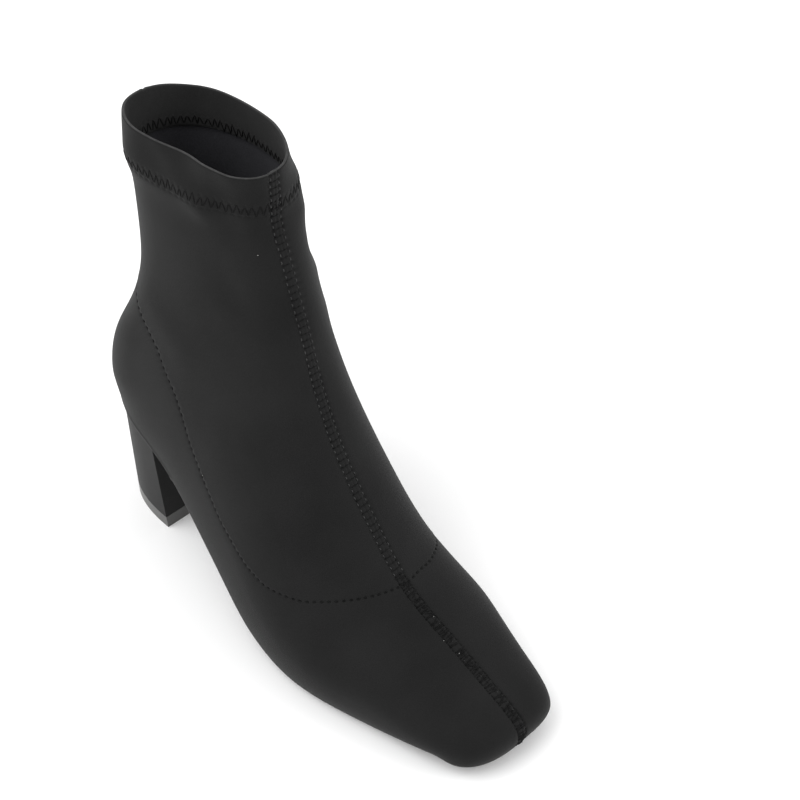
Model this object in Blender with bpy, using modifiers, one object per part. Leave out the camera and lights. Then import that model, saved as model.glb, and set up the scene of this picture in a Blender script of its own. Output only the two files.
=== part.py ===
"""Sock boot for a right foot: stretch-fabric upper, square toe, thin sole and a covered block heel.

Metres. The toe points to -Y, the medial side is +X, up is +Z and the floor is Z = 0.
X = 0 is the line of the last, and Y = 0 is the middle of the heel's lift.
"""
import bmesh
import bpy
import numpy as np

# Driving sizes of the last
LENGTH = 0.247            # back of the heel to the toe end
BALL_WIDTH = 0.088        # widest place, over the joints of the toes
INSTEP_HEIGHT = 0.104     # floor to the front of the bend over the instep
HEEL_HEIGHT = 0.060       # floor to the featherline at the back
TOE_SPRING = 0.0055       # rise of the featherline from the ball to the toe end

# Driving sizes of the leg
COLLAR_HEIGHT = 0.221     # floor to the collar's rim
COLLAR_LENGTH = 0.073     # front to back at the rim
COLLAR_WIDTH = 0.041      # side to side at the rim
COLLAR_DENT = 0.0030      # how far the slack rim sinks in on the lateral side

# Walls, sole and heel
WALL = 0.0018             # stretch fabric with its lining
HEM = 0.022               # height of the fold at the collar
HEM_WALL = 0.0032         # the fold is two layers
MARGIN = 0.008            # lasting margin turned under the foot
SOLE = 0.0030             # outsole
SOLE_INSET = 0.0004       # outsole's edge behind the featherline
SOLE_ROUND = 0.0007       # rounded edge of the outsole
INSOLE = 0.0022
INSOLE_ROOM = 0.0022      # from the inner face of the wall to the insole's edge
LIFT = 0.0065             # rubber lift under the heel
HEEL_LENGTH = 0.038       # at the floor, breast to back
HEEL_WIDTH = 0.048        # at the floor, along the breast
HEEL_BREAST = 0.0475      # breast at the floor, from the back of the foot
BREAST_LEAN = 0.0045      # the breast leans back by this much on its way up
GAP = 0.0003              # between pieces that meet

HEEL_MIDDLE = HEEL_BREAST - HEEL_LENGTH / 2
BALL_LINE = SOLE + GAP    # height of the featherline where the sole lies on the floor
HEM_LINE = COLLAR_HEIGHT - HEM

# Sections of the foot, from the front featherline to the back of the heel. Each lies in a plane from
# its feather (under the foot) to its ridge (the front seam).
#   feather    along the foot, share of LENGTH
#   arch       height of the feather, share of the rise from the ball to HEEL_HEIGHT
#   spring     height of the feather, share of TOE_SPRING
#   ridge      along the foot, share of LENGTH
#   top        height of the ridge, share of INSTEP_HEIGHT
#   lat, med   half widths at the widest place, shares of BALL_WIDTH
#   under_lat, under_med   half widths at the feather, shares of BALL_WIDTH
#   low        height of the widest place, share of the section
#   crown_lat, crown_med   powers of the curve from there over the top
FOOT = [
    # feather arch  spring ridge  top    lat    med    under_lat under_med low  crown_lat crown_med
    (0.915, 0.000, 0.78, 1.000, 0.085, 0.299, 0.299, 0.298, 0.297, 0.12, 3.5, 3.9),
    (0.909, 0.000, 0.72, 1.004, 0.125, 0.305, 0.303, 0.303, 0.300, 0.12, 3.4, 3.7),
    (0.900, 0.000, 0.64, 0.999, 0.178, 0.316, 0.309, 0.310, 0.305, 0.15, 3.3, 3.5),
    (0.880, 0.000, 0.50, 0.966, 0.236, 0.345, 0.329, 0.330, 0.318, 0.22, 3.0, 3.1),
    (0.846, 0.000, 0.30, 0.915, 0.282, 0.388, 0.360, 0.364, 0.341, 0.28, 2.8, 2.8),
    (0.802, 0.000, 0.10, 0.840, 0.355, 0.437, 0.407, 0.406, 0.380, 0.32, 2.5, 2.5),
    (0.749, 0.000, 0.00, 0.769, 0.413, 0.484, 0.460, 0.448, 0.428, 0.33, 2.3, 2.3),
    (0.668, 0.000, 0.00, 0.713, 0.478, 0.535, 0.470, 0.500, 0.430, 0.33, 2.1, 2.2),
    (0.595, 0.048, 0.00, 0.668, 0.582, 0.555, 0.448, 0.522, 0.395, 0.32, 2.0, 2.2),
    (0.518, 0.171, 0.00, 0.623, 0.702, 0.545, 0.434, 0.514, 0.350, 0.32, 1.95, 2.25),
    (0.421, 0.383, 0.00, 0.575, 0.840, 0.485, 0.432, 0.456, 0.312, 0.32, 1.9, 2.35),
    (0.324, 0.586, 0.00, 0.530, 1.000, 0.425, 0.424, 0.393, 0.298, 0.32, 1.9, 2.4),
    (0.223, 0.780, 0.00, 0.494, 1.173, 0.370, 0.412, 0.330, 0.306, 0.30, 1.95, 2.45),
    (0.121, 0.903, 0.00, 0.466, 1.356, 0.340, 0.400, 0.298, 0.298, 0.28, 2.0, 2.5),
    (0.044, 0.974, 0.00, 0.446, 1.490, 0.328, 0.393, 0.205, 0.205, 0.28, 2.1, 2.5),
    (0.022, 0.988, 0.00, 0.440, 1.530, 0.324, 0.391, 0.140, 0.140, 0.28, 2.1, 2.5),
    (0.012, 0.996, 0.00, 0.437, 1.550, 0.322, 0.390, 0.075, 0.075, 0.28, 2.1, 2.5),
    (0.010, 1.000, 0.00, 0.434, 1.565, 0.320, 0.389, 0.000, 0.000, 0.28, 2.1, 2.5),
]

# Sections of the leg, from the heel's bulge to the rim, each a closed ring.
#   back       along the foot, share of LENGTH
#   rise       height at the back, share of the way from HEEL_HEIGHT to the hem
#   depth      back to front, share of COLLAR_LENGTH
#   climb      height at the front, share of the way from INSTEP_HEIGHT to the hem
#   fold       height in the hem, share of HEM
#   lat, med   half widths, shares of COLLAR_WIDTH
#   skew       how far the back lies to the lateral side of the front, share of COLLAR_WIDTH
#   low_lat, low_med       place of the widest line on each side, share of the way from back to front
#   crown_lat, crown_med   powers of the curve from there to the front
LEG = [
    # back  rise   depth  climb  fold lat    med    skew   low_lat low_med crown_lat crown_med
    (0.006, 0.108, 1.411, 0.700, 0.0, 0.668, 0.830, 0.000, 0.29, 0.29, 2.1, 2.5),
    (0.016, 0.216, 1.337, 0.775, 0.0, 0.630, 0.820, 0.000, 0.31, 0.31, 2.1, 2.5),
    (0.046, 0.338, 1.202, 0.845, 0.0, 0.590, 0.795, 0.000, 0.33, 0.34, 2.1, 2.5),
    (0.072, 0.468, 1.085, 0.900, 0.0, 0.556, 0.760, 0.000, 0.35, 0.38, 2.1, 2.45),
    (0.088, 0.611, 1.012, 0.945, 0.0, 0.533, 0.715, 0.010, 0.37, 0.42, 2.1, 2.4),
    (0.090, 0.790, 0.998, 0.975, 0.0, 0.530, 0.685, 0.040, 0.36, 0.46, 2.15, 2.3),
    (0.086, 1.000, 1.008, 1.000, 0.0, 0.540, 0.655, 0.070, 0.35, 0.50, 2.2, 2.2),
    (0.084, 1.000, 1.003, 1.000, 0.5, 0.530, 0.585, 0.090, 0.34, 0.52, 2.2, 2.2),
    (0.081, 1.000, 1.000, 1.000, 1.0, 0.515, 0.500, 0.090, 0.33, 0.53, 2.2, 2.2),
]
BEND = 2.1                # power of the curve from the feather out to the widest place
HEEL_POWER = 2.4          # the heel's D-shaped outline at the floor

# The dent in the lateral side of the rim: its place and reach along the rim, shares of COLLAR_LENGTH,
# and how far down it fades, a share of COLLAR_HEIGHT
DENT_PLACE = 0.62
DENT_REACH = 0.26
DENT_DROP = 0.20

HEEL_CENTRE = 0.105       # middle of the heel's round end, share of LENGTH

ROW_PARTS = 2             # stations between neighbouring rows of the tables
UNDER_PARTS = 5           # faces from the feather to the widest place
CROWN_PARTS = 7           # faces from the widest place to the ridge
HEEL_PARTS = 14           # faces around half of the heel
WELD = 1e-6               # points this near are one
SHARP = 40                # degrees: an edge bent more than this is shaded sharp
ROUNDED = 50              # degrees: an edge of the outsole bent more than this is rounded


def section_rows():
    """All sections in metres, toe to rim.

    Feather and ridge (along, height), half widths lateral and medial at the widest place and at the
    feather, skew, places of the widest line, and powers of the curves.
    """
    rows = []
    for feather, arch, spring, ridge, top, lat, med, under_lat, under_med, low, *crowns in FOOT:
        height = BALL_LINE + arch * (HEEL_HEIGHT - BALL_LINE) + spring * TOE_SPRING
        widths = np.array([lat, med, under_lat, under_med]) * BALL_WIDTH
        rows.append((feather * LENGTH, height, ridge * LENGTH, top * INSTEP_HEIGHT, *widths, 0.0,
                     low, low, *crowns))
    for back, rise, depth, climb, fold, lat, med, skew, low_lat, low_med, *crowns in LEG:
        height = HEEL_HEIGHT + rise * (HEM_LINE - HEEL_HEIGHT) + fold * HEM
        front = INSTEP_HEIGHT + climb * (HEM_LINE - INSTEP_HEIGHT) + fold * HEM
        ridge = back * LENGTH + depth * COLLAR_LENGTH
        rows.append((back * LENGTH, height, ridge, front, lat * COLLAR_WIDTH, med * COLLAR_WIDTH, 0.0, 0.0,
                     skew * COLLAR_WIDTH, low_lat, low_med, *crowns))
    return np.array(rows)


def smooth_stations(rows, parts):
    """Stations through the rows by cubic steps that never overshoot, this many to each step.

    The steps are as long as the way between the rows' middles, so close rows make no crease.
    """
    middle = (rows[:, :2] + rows[:, 2:4]) / 2
    length = np.linalg.norm(np.diff(middle, axis=0), axis=1)[:, None]
    grade = np.diff(rows, axis=0) / length
    before, after = grade[:-1], grade[1:]
    share_before = length[:-1] + 2 * length[1:]
    share_after = 2 * length[:-1] + length[1:]
    steady = before * after > 0
    mixed = share_before * np.where(steady, after, 1) + share_after * np.where(steady, before, 1)
    slope = np.zeros_like(rows)
    slope[0] = grade[0]
    slope[-1] = grade[-1]
    slope[1:-1] = np.where(steady, before * after * (share_before + share_after) / mixed, 0)
    stations = []
    for index in range(len(length)):
        for part in range(parts):
            t = part / parts
            stations.append(rows[index] * (1 + 2 * t) * (1 - t) ** 2
                            + rows[index + 1] * t * t * (3 - 2 * t)
                            + length[index] * slope[index] * t * (1 - t) ** 2
                            - length[index] * slope[index + 1] * t * t * (1 - t))
    stations.append(rows[-1])
    return np.array(stations)


def half_section(width, under, low, crown):
    """One side of a section: distances from the middle, and shares of the way from feather to ridge."""
    start = np.arcsin((under / width) ** (BEND / 2))
    turn = np.linspace(start, np.pi / 2, UNDER_PARTS + 1)
    fall = np.clip(np.cos(turn), 0, 1) ** (2 / BEND)
    out = width * np.sin(turn) ** (2 / BEND)
    up = low * (1 - fall / fall[0])
    turn = np.linspace(0, np.pi / 2, CROWN_PARTS + 1)[1:]
    over = width * np.clip(np.cos(turn), 0, 1) ** (2 / crown)
    over[-1] = 0
    rise = low + (1 - low) * np.sin(turn) ** (2 / crown)
    return np.concatenate([out, over]), np.concatenate([up, rise])


def upper_grid():
    """Points of the upper's outer face as (across, along, height), in a row for each station.

    A row runs from the lateral feather over the ridge to the medial feather. In the leg both ends
    are the same point, at the back.
    """
    grid = []
    for station in smooth_stations(section_rows(), ROW_PARTS):
        feather, height, ridge, top, lat, med, under_lat, under_med, skew = station[:9]
        low_lat, low_med, crown_lat, crown_med = station[9:]
        left, left_share = half_section(lat, under_lat, low_lat, crown_lat)
        right, right_share = half_section(med, under_med, low_med, crown_med)
        share = np.concatenate([left_share, right_share[-2::-1]])
        across = np.concatenate([-left, right[-2::-1]]) - skew * (1 - share)
        row = [across, feather + (ridge - feather) * share, height + (top - height) * share]
        grid.append(np.stack(row, axis=1))
    return dented(np.array(grid))


def dented(grid):
    """The grid with the lateral side of the rim sunk in."""
    across, along, height = np.moveaxis(grid, -1, 0)
    place = LEG[-1][0] * LENGTH + DENT_PLACE * COLLAR_LENGTH
    near = np.exp(-((along - place) / (DENT_REACH * COLLAR_LENGTH)) ** 2)
    near = near * np.clip(1 - (COLLAR_HEIGHT - height) / (DENT_DROP * COLLAR_HEIGHT), 0, 1) ** 2
    side = np.clip(-across / (COLLAR_WIDTH / 2), 0, 1)
    grid[..., 0] += COLLAR_DENT * near * side
    return grid


GRID = upper_grid()
CLOSED = (len(FOOT) - 1) * ROW_PARTS


def featherline():
    """The featherline's lateral and medial side, each from the toe end to the back of the heel."""
    front = GRID[0]
    middle = len(front) // 2
    lateral = np.concatenate([front[middle::-1], GRID[1:CLOSED + 1, 0]])
    medial = np.concatenate([front[middle:], GRID[1:CLOSED + 1, -1]])
    return lateral, medial


LATERAL, MEDIAL = featherline()


def bottom(along, offset):
    """Places along the foot and heights of the bottom line there, moved up its normal by the offset."""
    line, height = LATERAL[::-1, 1], LATERAL[::-1, 2]
    slope = np.interp(along, line, np.gradient(height, line))
    run = offset / np.sqrt(1 + slope ** 2)
    return along - slope * run, np.interp(along, line, height) + run


def drawn_in(side, inset):
    """One side of the featherline moved inward, as across and along.

    Between the centres of the two ends the side moves straight in, and beyond them the end's curve
    shrinks toward its centre.
    """
    across, along = side[:, 0], side[:, 1]
    toe, heel = FOOT[0][0] * LENGTH, HEEL_CENTRE * LENGTH
    centre = np.clip(along, heel, toe)
    width = np.abs(np.interp(centre, along[::-1], across[::-1]))
    depth = np.where(along > toe, along[0] - toe, heel - along[-1])
    return np.stack([across * (1 - inset / width), centre + (along - centre) * (1 - inset / depth)], axis=1)


def rungs(inset, offset, places):
    """Points across the bottom, (place, side, xyz), at the given places along the drawn-in outline."""
    sides = []
    for side in (LATERAL, MEDIAL):
        outline = drawn_in(side, inset)[::-1]
        across = np.interp(places, outline[:, 1], outline[:, 0])
        along, height = bottom(places, offset)
        sides.append(np.stack([across, along, height], axis=1))
    return np.stack(sides, axis=1)


def heel_shares():
    """Shares of the way from the breast to the back, closer together where the heel is round."""
    return np.sin(np.linspace(0, np.pi / 2, HEEL_PARTS + 1))


def heel_floor():
    """The heel's outline at the floor, as rungs."""
    share = heel_shares()
    half = HEEL_WIDTH / 2 * np.clip(1 - share ** HEEL_POWER, 0, 1) ** (1 / HEEL_POWER)
    along = HEEL_BREAST - HEEL_LENGTH * share
    level = np.zeros_like(share)
    return np.stack([np.stack([side * half, along, level], axis=1) for side in (-1, 1)], axis=1)


def heel_seat():
    """The heel's outline under the seat of the upper, as rungs."""
    back = drawn_in(LATERAL, SOLE_INSET)[-1, 1]
    breast = HEEL_BREAST - BREAST_LEAN
    return rungs(SOLE_INSET, -GAP, breast - (breast - back) * heel_shares())


def heel_at(height):
    """The heel's outline at a height, on the straight lines from floor to seat."""
    floor, seat = heel_floor(), heel_seat()
    return floor + (seat - floor) * height / seat[..., 2:]


def placed(points):
    """Across, along and height as world coordinates."""
    return np.stack([points[..., 0], HEEL_MIDDLE - points[..., 1], points[..., 2]], axis=-1)


def new_object(name, points, faces, material):
    """An object with these faces, in the part's collection, its double points welded."""
    mesh = bpy.data.meshes.new(name)
    mesh.from_pydata(placed(points).tolist(), [], faces)
    form = bmesh.new()
    form.from_mesh(mesh)
    bmesh.ops.remove_doubles(form, verts=form.verts, dist=WELD)
    form.to_mesh(mesh)
    form.free()
    mesh.shade_smooth()
    mesh.set_sharp_from_angle(angle=np.radians(SHARP))
    mesh.materials.append(material)
    piece = bpy.data.objects.new(name, mesh)
    PARTS.objects.link(piece)
    piece.parent = BOOT
    return piece


def add_block(name, top, under, material):
    """A closed body between two sets of rungs, lofted rung by rung."""
    count = len(top)
    faces = []
    for index in range(count - 1):
        a, b, c, d = (2 * index + step for step in range(4))
        low = 2 * count
        faces += [(a, b, d, c), (low + a, low + c, low + d, low + b),
                  (a, c, low + c, low + a), (b, low + b, low + d, d)]
    last = 2 * count - 2
    faces += [(0, low, low + 1, 1), (last, last + 1, low + last + 1, low + last)]
    points = np.concatenate([top.reshape(-1, 3), under.reshape(-1, 3)])
    return new_object(name, points, faces, material)


def add_upper(material):
    """The hollow upper: its outer face and the turned-under margin, thickened inward."""
    count, columns = GRID.shape[:2]
    faces = []
    for row in range(count - 1):
        for column in range(columns - 1):
            corner = row * columns + column
            faces.append((corner, corner + 1, corner + columns + 1, corner + columns))
    points = [GRID.reshape(-1, 3)]
    start = count * columns
    for side, turned in ((LATERAL, False), (MEDIAL, True)):
        across, along = drawn_in(side, MARGIN).T
        inner = np.stack([across, *bottom(along, 0)], axis=1)
        points += [side, inner]
        length = len(side)
        for index in range(start, start + length - 1):
            face = (index, index + 1, index + length + 1, index + length)
            faces.append(face[::-1] if turned else face)
        start += 2 * length
    upper = new_object("upper", np.concatenate(points), faces, material)
    hem = upper.vertex_groups.new(name="hem")
    folded = [point.index for point in upper.data.vertices if point.co.z > HEM_LINE - WELD]
    hem.add(folded, 1.0, "REPLACE")
    wall = upper.modifiers.new("wall", "SOLIDIFY")
    wall.thickness = HEM_WALL
    wall.vertex_group = hem.name
    wall.thickness_vertex_group = WALL / HEM_WALL
    wall.offset = -1
    wall.use_even_offset = True
    wall.use_quality_normals = True
    return upper


def add_outsole(material):
    """The thin sole, from the toe end to the heel's breast."""
    outline = drawn_in(LATERAL, SOLE_INSET)[:, 1]
    end = HEEL_BREAST - BREAST_LEAN + 2 * GAP
    places = np.append(outline[outline > end + SOLE], end)
    top = rungs(SOLE_INSET, -GAP, places)
    under = top.copy()
    under[..., 2] = rungs(SOLE_INSET, -GAP - SOLE, places)[..., 2]
    sole = add_block("outsole", top, under, material)
    edge = sole.modifiers.new("edge", "BEVEL")
    edge.width = SOLE_ROUND
    edge.segments = 2
    edge.angle_limit = np.radians(ROUNDED)
    return sole


def add_insole(material):
    """The footbed, lying on the turned-under margin."""
    inset = WALL + INSOLE_ROOM
    places = drawn_in(LATERAL, inset)[:, 1]
    under = rungs(inset, WALL + GAP, places)
    top = rungs(inset, WALL + GAP + INSOLE, places)
    return add_block("insole", top, under, material)


def add_heel(cover, rubber):
    """The covered block and the rubber lift under it."""
    add_block("heel_block", heel_seat(), heel_at(LIFT + GAP), cover)
    add_block("heel_toplift", heel_at(LIFT), heel_floor(), rubber)


def new_material(name, colour, roughness):
    """A plain surface for one material of the boot."""
    material = bpy.data.materials.new(name)
    material.use_nodes = True
    shader = material.node_tree.nodes["Principled BSDF"]
    shader.inputs["Base Color"].default_value = (*colour, 1)
    shader.inputs["Roughness"].default_value = roughness
    shader.inputs["Metallic"].default_value = 0
    return material


for item in list(bpy.data.objects):
    bpy.data.objects.remove(item)
PARTS = bpy.data.collections.new("sock_boot")
bpy.context.scene.collection.children.link(PARTS)
BOOT = bpy.data.objects.new("sock_boot", None)
PARTS.objects.link(BOOT)

add_upper(new_material("stretch_fabric", (0.018, 0.018, 0.020), 0.8))
add_outsole(new_material("sole_rubber", (0.015, 0.015, 0.015), 0.55))
add_insole(new_material("insole_lining", (0.020, 0.020, 0.020), 0.75))
COVER = new_material("heel_cover", (0.016, 0.016, 0.018), 0.6)
add_heel(COVER, new_material("lift_rubber", (0.05, 0.05, 0.05), 0.5))
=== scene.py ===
"""Looks of a sock boot for a right foot: the stretch upper with its seams and hem, footbed, sole and heel.

Metres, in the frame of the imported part: the toe points to -Y, the medial side is +X, up is +Z and the
floor is Z = 0. X = 0 is the line of the last, and Y = 0 is the middle of the heel's lift.
"""

import bmesh
import bpy
import numpy as np
from mathutils import Matrix, Vector
from mathutils.bvhtree import BVHTree
from mathutils.kdtree import KDTree


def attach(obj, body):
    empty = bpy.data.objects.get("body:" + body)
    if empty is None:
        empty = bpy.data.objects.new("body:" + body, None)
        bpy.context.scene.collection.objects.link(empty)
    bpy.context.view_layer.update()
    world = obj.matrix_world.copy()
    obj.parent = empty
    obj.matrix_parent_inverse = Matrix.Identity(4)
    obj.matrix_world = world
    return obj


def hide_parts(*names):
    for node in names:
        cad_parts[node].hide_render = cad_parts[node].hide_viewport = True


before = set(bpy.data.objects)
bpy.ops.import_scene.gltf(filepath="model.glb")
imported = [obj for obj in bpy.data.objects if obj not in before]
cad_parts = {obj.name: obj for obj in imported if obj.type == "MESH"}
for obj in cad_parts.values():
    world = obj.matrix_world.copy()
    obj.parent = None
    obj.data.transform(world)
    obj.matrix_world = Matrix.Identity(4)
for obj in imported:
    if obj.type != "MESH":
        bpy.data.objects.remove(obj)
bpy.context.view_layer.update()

# Sizes of the last and the leg
LENGTH = 0.247            # back of the heel to the toe end
BALL_WIDTH = 0.088        # widest place, over the joints of the toes
INSTEP_HEIGHT = 0.104     # floor to the front of the bend over the instep
HEEL_HEIGHT = 0.060       # floor to the featherline at the back
TOE_SPRING = 0.0055       # rise of the featherline from the ball to the toe end
COLLAR_HEIGHT = 0.221     # floor to the collar's rim
COLLAR_LENGTH = 0.073     # front to back at the rim
COLLAR_WIDTH = 0.041      # side to side at the rim
COLLAR_DENT = 0.0030      # how far the slack rim sinks in on the lateral side
RIM_TILT = 0.0032         # of the leg toward the rim, whose front lies lower than its back by nearly this

# Walls, sole and heel
WALL = 0.0018             # stretch fabric with its lining
HEM = 0.022               # height of the fold at the collar
HEM_WALL = 0.0032         # the fold is two layers
MARGIN = 0.008            # lasting margin turned under the foot
SOLE = 0.0030             # outsole
SOLE_INSET = 0.0004       # outsole's edge behind the featherline
SOLE_SLANT = 0.0020       # its lower edge lies further in than its upper edge
INSOLE = 0.0022
INSOLE_ROOM = 0.0022      # from the inner face of the wall to the insole's edge
LIFT = 0.0065             # rubber lift under the heel
HEEL_LENGTH = 0.038       # at the floor, breast to back
HEEL_WIDTH = 0.048        # at the floor, along the breast
HEEL_BREAST = 0.0475      # breast at the floor, from the back of the foot
BREAST_LEAN = 0.0045      # the breast leans back by this much on its way up
GAP = 0.0003              # between pieces that meet

HEEL_MIDDLE = HEEL_BREAST - HEEL_LENGTH / 2
BALL_LINE = SOLE + GAP    # height of the featherline where the sole lies on the floor
HEM_LINE = COLLAR_HEIGHT - HEM

# Sections of the foot, from the front featherline to the back of the heel. Lengths along the foot are
# shares of LENGTH, heights are shares of the heel's rise, TOE_SPRING and INSTEP_HEIGHT, widths are
# shares of BALL_WIDTH, and low is a share of the section.
FOOT = [
    # feather arch  spring ridge  top    lat    med    under_lat under_med low  crown_lat crown_med
    (0.915, 0.000, 0.78, 1.000, 0.085, 0.334, 0.299, 0.333, 0.297, 0.12, 2.40, 3.9),
    (0.909, 0.000, 0.72, 1.004, 0.125, 0.341, 0.303, 0.338, 0.300, 0.12, 2.40, 3.7),
    (0.900, 0.000, 0.64, 0.999, 0.178, 0.350, 0.309, 0.344, 0.305, 0.15, 2.40, 3.3),
    (0.880, 0.000, 0.50, 0.966, 0.236, 0.373, 0.329, 0.361, 0.318, 0.22, 2.45, 3.1),
    (0.846, 0.000, 0.30, 0.915, 0.282, 0.404, 0.360, 0.384, 0.341, 0.28, 2.50, 2.8),
    (0.802, 0.000, 0.10, 0.840, 0.355, 0.441, 0.407, 0.412, 0.380, 0.32, 2.50, 2.5),
    (0.749, 0.000, 0.00, 0.769, 0.413, 0.484, 0.460, 0.448, 0.428, 0.33, 2.3, 2.3),
    (0.668, 0.000, 0.00, 0.713, 0.478, 0.535, 0.470, 0.500, 0.430, 0.33, 2.1, 2.2),
    (0.595, 0.048, 0.00, 0.668, 0.582, 0.555, 0.448, 0.522, 0.395, 0.32, 2.0, 2.2),
    (0.518, 0.171, 0.00, 0.623, 0.702, 0.545, 0.434, 0.514, 0.350, 0.32, 1.95, 2.25),
    (0.421, 0.383, 0.00, 0.575, 0.840, 0.485, 0.432, 0.456, 0.312, 0.32, 1.9, 2.35),
    (0.324, 0.586, 0.00, 0.530, 1.000, 0.425, 0.424, 0.393, 0.298, 0.32, 1.9, 2.4),
    (0.223, 0.780, 0.00, 0.494, 1.173, 0.370, 0.412, 0.330, 0.306, 0.30, 1.95, 2.45),
    (0.121, 0.903, 0.00, 0.466, 1.356, 0.340, 0.400, 0.298, 0.298, 0.28, 2.0, 2.5),
    (0.044, 0.974, 0.00, 0.446, 1.490, 0.328, 0.393, 0.205, 0.205, 0.28, 2.1, 2.5),
    (0.022, 0.988, 0.00, 0.440, 1.530, 0.324, 0.391, 0.140, 0.140, 0.28, 2.1, 2.5),
    (0.012, 0.996, 0.00, 0.437, 1.550, 0.322, 0.390, 0.075, 0.075, 0.28, 2.1, 2.5),
    (0.010, 1.000, 0.00, 0.434, 1.565, 0.320, 0.389, 0.000, 0.000, 0.28, 2.1, 2.5),
]

# Sections of the leg, from the heel's bulge to the rim: shares of LENGTH, of the ways up to the hem,
# of COLLAR_LENGTH, HEM and COLLAR_WIDTH.
LEG = [
    # back  rise   depth  climb  fold lat    med    skew   low_lat low_med crown_lat crown_med
    (0.006, 0.108, 1.411, 0.700, 0.0, 0.668, 0.830, 0.000, 0.29, 0.29, 2.1, 2.5),
    (0.016, 0.216, 1.337, 0.775, 0.0, 0.630, 0.820, 0.000, 0.31, 0.31, 2.1, 2.5),
    (0.046, 0.338, 1.202, 0.845, 0.0, 0.590, 0.795, 0.000, 0.33, 0.34, 2.1, 2.5),
    (0.072, 0.468, 1.085, 0.900, 0.0, 0.556, 0.760, 0.000, 0.35, 0.38, 2.1, 2.45),
    (0.088, 0.611, 1.012, 0.945, 0.0, 0.533, 0.715, 0.010, 0.37, 0.42, 2.1, 2.4),
    (0.090, 0.790, 0.998, 0.975, 0.0, 0.530, 0.685, 0.040, 0.36, 0.46, 2.15, 2.3),
    (0.086, 1.000, 1.008, 1.000, 0.0, 0.540, 0.655, 0.070, 0.35, 0.50, 2.2, 2.2),
    (0.084, 1.000, 1.003, 1.000, 0.5, 0.530, 0.585, 0.090, 0.34, 0.52, 2.2, 2.2),
    (0.081, 1.000, 1.000, 1.000, 1.0, 0.515, 0.500, 0.090, 0.33, 0.53, 2.2, 2.2),
]
BEND = 2.1                # power of the curve from the feather out to the widest place
HEEL_POWER = 2.4          # the heel's D-shaped outline at the floor
HEEL_CENTRE = 0.105       # middle of the heel's round end, share of LENGTH
DENT_PLACE = 0.62         # of the rim's dent, shares of COLLAR_LENGTH and, for the last, of COLLAR_HEIGHT
DENT_REACH = 0.26
DENT_DROP = 0.20

# Fineness of the visible surfaces
STEP = 0.0016             # between rows of the upper
SIDE_FACES = 72           # faces of the upper from the front seam down to the feather
CURVE_POINTS = 160        # of a section, before it is spaced evenly
EVENING = 0.4             # how far kinks between the tables' rows are evened out, share of a row's step
FEATHER_LIMIT = 0.998     # the feather's half width is at most this share of the widest half width
OPENING_ROW = 13          # of FOOT: from here on the feather's half widths close the heel and stay sharp
HEEL_PARTS = 40           # faces around half of the heel
LINING_SKIP = 2           # the lining takes each second row and column
LINING_LAP = 3            # rows by which the lining reaches up behind the fold
HEEL_ROUNDING = 4         # rows over which the upper turns under the heel
HEEL_CORNER = 12          # columns at each end of a row that keep to the heel's seat
SEAT_ROWS = 40            # rows in front of the first closed one that border the heel's seat
RING_SEARCH = 40          # rows below the hem in which a ring of the collar may lie
RING_STEP = 0.0012        # between the rings of the fold
TURN_POINTS = 9           # rings over the fold's rounded edge
INNER_FOLD = 0.8          # share of RIM_WALL from which on a face belongs to the fold's inside

# Soft folds and hollows of the upper: side, the fold's two ends as (along, height) in shares of LENGTH and
# COLLAR_HEIGHT, its half width as a share of COLLAR_LENGTH, and its height out of the surface.
FOLDS = [
    # side along  height along  height width  lift
    (-1, 0.205, 1.00, 0.290, 0.900, 0.070, 0.0008),
    (-1, 0.300, 1.02, 0.345, 0.870, 0.080, -0.0010),
    (-1, 0.190, 0.60, 0.250, 0.560, 0.130, 0.0007),
    (-1, 0.330, 0.78, 0.380, 0.700, 0.090, -0.0006),
    (-1, 0.225, 1.00, 0.250, 1.000, 0.130, -0.0008),
    (-1, 0.310, 1.00, 0.365, 1.000, 0.130, 0.0030),
    (-1, 0.090, 0.98, 0.140, 0.950, 0.160, 0.0015),
    (-1, 0.140, 0.92, 0.290, 0.910, 0.100, 0.0011),
    (-1, 0.050, 0.47, 0.050, 0.370, 0.260, 0.0014),
    (1, 0.170, 1.00, 0.270, 1.000, 0.200, 0.0022),
    (1, 0.345, 0.91, 0.360, 0.870, 0.110, 0.0020),
    (1, 0.345, 0.79, 0.350, 0.780, 0.090, -0.0014),
    (1, 0.365, 0.71, 0.380, 0.650, 0.120, 0.0018),
]

# The seam between the leg's panel and the foot's: from the back of the heel down each side, as (along,
# height), then over the vamp, as (across, along); shares of LENGTH, COLLAR_HEIGHT and BALL_WIDTH.
PANEL_SIDE = [(0.117, 0.601), (0.150, 0.575), (0.196, 0.532), (0.221, 0.489), (0.252, 0.448), (0.275, 0.410),
              (0.301, 0.366), (0.334, 0.328), (0.376, 0.291), (0.417, 0.262), (0.484, 0.233), (0.520, 0.226),
              (0.555, 0.223)]
PANEL_VAMP = [(-0.453, 0.615), (-0.403, 0.641), (-0.341, 0.663), (-0.227, 0.690), (-0.114, 0.706),
              (0.0, 0.714), (0.10, 0.710), (0.20, 0.704), (0.31, 0.684), (0.385, 0.655), (0.425, 0.620)]
PANEL_BACK = (0.081, 0.629)

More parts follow.
